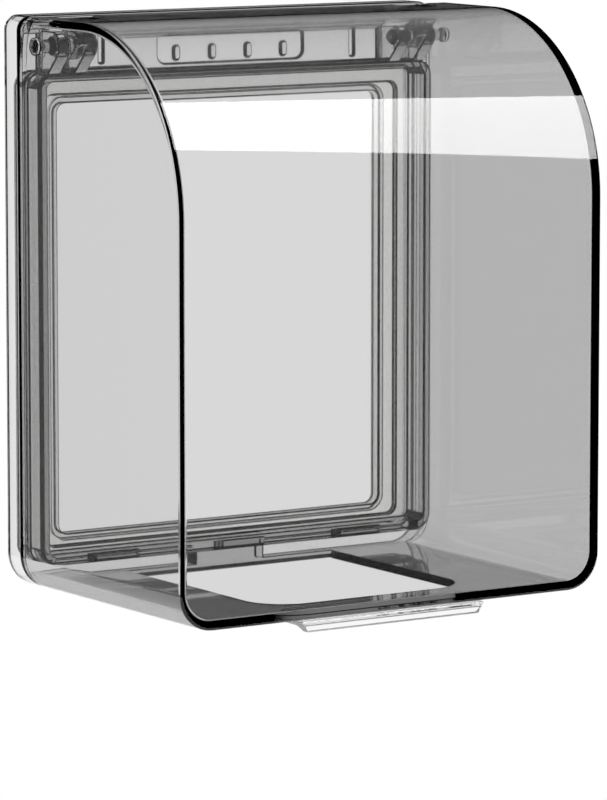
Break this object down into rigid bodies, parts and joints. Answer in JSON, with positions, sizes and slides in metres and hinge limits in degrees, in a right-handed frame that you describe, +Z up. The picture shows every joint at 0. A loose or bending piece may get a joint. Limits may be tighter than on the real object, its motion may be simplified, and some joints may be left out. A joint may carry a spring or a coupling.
{
  "type": "waterproof outlet cover",
  "caption": "Wall cover that keeps splashes off an outlet: a shallow base frame and a deep see-through lid, hinged along the top, with a lead slot in its bottom wall.",
  "frame": {"origin": "on the wall plane, in the back of the solid foot in the middle of the base frame's lower band, 1.5 mm above its lower edge", "axes": "+X to the right as seen from the room, +Y into the wall, +Z up"},
  "size_m": [0.1006, 0.0675, 0.1196],
  "materials": {
    "smoke_plastic": "clear, smoke tinted, high gloss",
    "clear_plastic": "clear, colourless, gloss",
    "seal_foam": "soft, matt"
  },
  "bodies": {
    "base": {"base_frame": "smoke_plastic", "wall_gasket": "seal_foam"},
    "lid": {"lid": "smoke_plastic", "hinge_pin_left": "smoke_plastic", "hinge_pin_right": "smoke_plastic", "pull_tab": "clear_plastic"}
  },
  "joints": [
    {"name": "lid_hinge", "type": "hinge", "parent": "base", "child": "lid", "pos_m": [0, -0.0121, 0.1097], "axis": [-1, 0, 0], "range_deg": [0, 90]}
  ]
}
